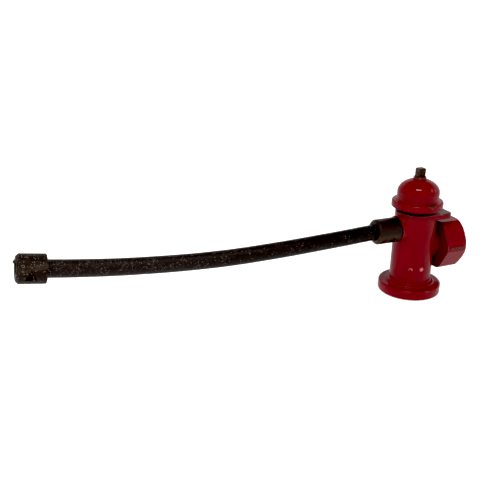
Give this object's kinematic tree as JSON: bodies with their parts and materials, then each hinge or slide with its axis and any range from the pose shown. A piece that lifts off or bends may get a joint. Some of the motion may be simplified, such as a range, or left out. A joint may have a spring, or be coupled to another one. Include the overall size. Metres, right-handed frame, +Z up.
{
  "type": "toy fire hydrant with hose",
  "caption": "Small toy fire hydrant that takes water from a garden hose through a swivel nut and lets it out through a valve and a short stiff hose.",
  "frame": {"origin": "centre of the foot's underside", "axes": "+Z up along the barrel and the valve stem, +X out of the inlet nut, -X along the outlet and the hose"},
  "size_m": [0.3087, 0.0454, 0.0931],
  "materials": {
    "red_enamel": "gloss enamel, chipped to grey metal at the edges",
    "aged_brass": "dark brown patina, worn golden in places",
    "valve_brass": "dull, brown with age",
    "hose_rubber": "black, semi-gloss, dusted with pale specks",
    "seal_rubber": "matt black",
    "fibre": "matt dark brown"
  },
  "bodies": {
    "hydrant": {"hydrant_body": "red_enamel", "bottom_plug": "red_enamel", "bottom_gasket": "fibre", "valve_seat": "valve_brass", "bonnet_gasket": "fibre", "bonnet": "red_enamel", "thrust_washer": "valve_brass", "stem_packing": "seal_rubber", "gland_nut": "red_enamel", "inlet_tailpiece": "valve_brass", "inlet_washer": "seal_rubber", "outlet_gasket": "fibre", "outlet_nipple": "valve_brass", "outlet_ferrule": "aged_brass", "fire_hose": "hose_rubber", "end_insert": "valve_brass", "end_ferrule": "aged_brass", "end_seal": "hose_rubber"},
    "stem": {"valve_stem": "valve_brass"},
    "plug": {"valve_plug": "valve_brass", "valve_washer": "seal_rubber", "washer_screw": "valve_brass"},
    "swivel_nut": {"inlet_nut": "red_enamel"}
  },
  "joints": [
    {"name": "stem_turn", "type": "hinge", "parent": "hydrant", "child": "stem", "pos_m": [0, 0, 0.08], "axis": [0, 0, 1], "range_deg": [0, 1080]},
    {"name": "plug_lift", "type": "slide", "parent": "hydrant", "child": "plug", "axis": [0, 0, 1], "range_m": [0, 0.0045]},
    {"name": "inlet_swivel", "type": "hinge", "parent": "hydrant", "child": "swivel_nut", "pos_m": [0.0248, 0, 0.0354], "axis": [1, 0, 0], "continuous": true}
  ],
  "couplings": [
    {"joint": "stem_turn", "follows": "plug_lift", "rad_per_m": 4188.8}
  ]
}
